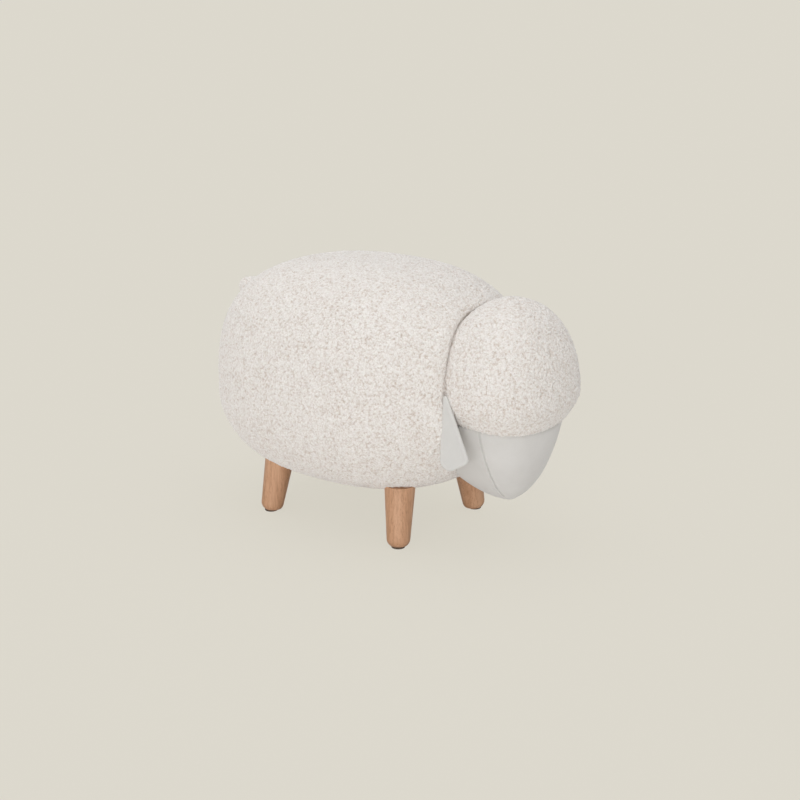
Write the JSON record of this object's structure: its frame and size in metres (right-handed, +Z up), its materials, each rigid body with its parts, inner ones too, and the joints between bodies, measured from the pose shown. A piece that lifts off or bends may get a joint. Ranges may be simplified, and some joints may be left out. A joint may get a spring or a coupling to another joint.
{
  "type": "animal footstool",
  "caption": "Padded footstool shaped like a sheep: curly wool cover over foam and a wooden frame, smooth face, hanging ears, short tail and splayed tapered wooden legs.",
  "frame": {"origin": "on the floor, under the middle of the whole stool", "axes": "+X towards the sheep's head, +Y its left side, +Z up"},
  "size_m": [0.5632, 0.3566, 0.372],
  "materials": {
    "wool": "curly boucle pile",
    "suede": "brushed",
    "leg_wood": "satin lacquer",
    "frame_wood": "plain",
    "foam": "open-cell foam",
    "steel": "zinc-plated",
    "glide": "matt",
    "lining": "thin non-woven"
  },
  "bodies": {
    "stool": {"barrel_nuts": "steel", "base_board": "frame_wood", "base_screws": "steel", "belly_foam": "foam", "cap_left": "wool", "cap_right": "wool", "cheek_left": "suede", "cheek_right": "suede", "corner_post_front_left": "frame_wood", "corner_post_front_right": "frame_wood", "corner_post_rear_left": "frame_wood", "corner_post_rear_right": "frame_wood", "cover_belly": "wool", "cover_chest": "wool", "cover_flank_left": "wool", "cover_flank_right": "wool", "cover_rump": "wool", "cover_saddle": "wool", "dust_cover": "lining", "ear_tab_left": "suede", "ear_tab_right": "suede", "end_panel_screws": "steel", "face_foam": "foam", "face_front": "suede", "foam_front": "foam", "foam_left": "foam", "foam_rear": "foam", "foam_right": "foam", "foot_glide_front_left": "glide", "foot_glide_front_right": "glide", "foot_glide_rear_left": "glide", "foot_glide_rear_right": "glide", "front_panel": "frame_wood", "hanger_bolts": "steel", "head_board": "frame_wood", "head_board_screws": "steel", "head_foam_front": "foam", "head_foam_rear": "foam", "leg_front_left": "leg_wood", "leg_front_right": "leg_wood", "leg_nuts": "steel", "leg_rear_left": "leg_wood", "leg_rear_right": "leg_wood", "middle_rib": "frame_wood", "neck_beam": "frame_wood", "neck_bolts": "steel", "neck_washers": "steel", "rear_panel": "frame_wood", "seat_board": "frame_wood", "seat_foam": "foam", "seat_screws": "steel", "side_panel_left": "frame_wood", "side_panel_right": "frame_wood", "side_panel_screws": "steel"},
    "ear_left": {"ear_lining_left": "suede", "ear_outer_left": "suede"},
    "ear_right": {"ear_lining_right": "suede", "ear_outer_right": "suede"},
    "tail": {"tail": "wool"}
  },
  "joints": [
    {"name": "ear_left_swing", "type": "hinge", "parent": "stool", "child": "ear_left", "pos_m": [0.1655, 0.0985, 0.2385], "axis": [1, 0, 0], "range_deg": [0, 100]},
    {"name": "ear_right_swing", "type": "hinge", "parent": "stool", "child": "ear_right", "pos_m": [0.1655, -0.0985, 0.2385], "axis": [-1, 0, 0], "range_deg": [0, 100]},
    {"name": "tail_lift", "type": "hinge", "parent": "stool", "child": "tail", "pos_m": [-0.233, 0, 0.316], "axis": [0, 1, 0], "range_deg": [0, 50]}
  ]
}
